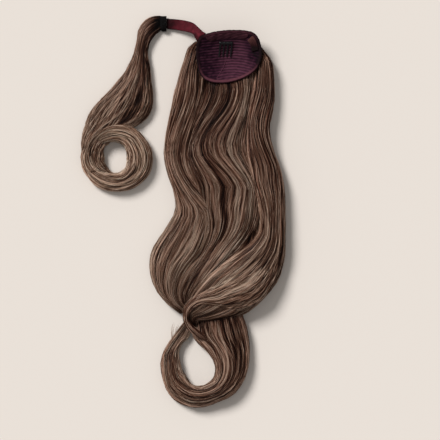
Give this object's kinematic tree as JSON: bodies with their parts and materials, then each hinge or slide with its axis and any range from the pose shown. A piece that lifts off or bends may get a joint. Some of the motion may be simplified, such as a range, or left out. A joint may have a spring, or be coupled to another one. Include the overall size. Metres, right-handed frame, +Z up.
{
  "type": "ponytail hairpiece",
  "caption": "Wrap-round ponytail hairpiece: long waved hair on a small fabric cap with a comb, and a strap with a curled wrap lock; shown lying, cap hollow up.",
  "frame": {"origin": "middle of the object's box, on the surface that it lies on", "axes": "+X to the right and +Y from the hair's loop to the cap as seen from above; +Z up, out of the cap's hollow"},
  "size_m": [0.2572, 0.4886, 0.0329],
  "materials": {
    "hair": "fine glossy strands, dark brown roots to ash brown ends",
    "lock_hair": "fine glossy strands, dark brown roots to ash blonde ends",
    "cap_fabric": "plum machine wefts, stitched",
    "binding": "plum woven tape",
    "tab": "russet folded ribbon",
    "comb_plastic": "black, slightly glossy",
    "strap": "wine red woven ribbon",
    "root_thread": "black wound thread"
  },
  "bodies": {
    "root": {"cap_base": "cap_fabric", "cap_binding": "binding", "top_band": "binding", "strap_tab": "tab", "comb": "comb_plastic", "wrap_strap": "strap", "root_band": "root_thread", "main_hair": "hair", "wrap_lock_hair": "lock_hair"}
  },
  "joints": []
}
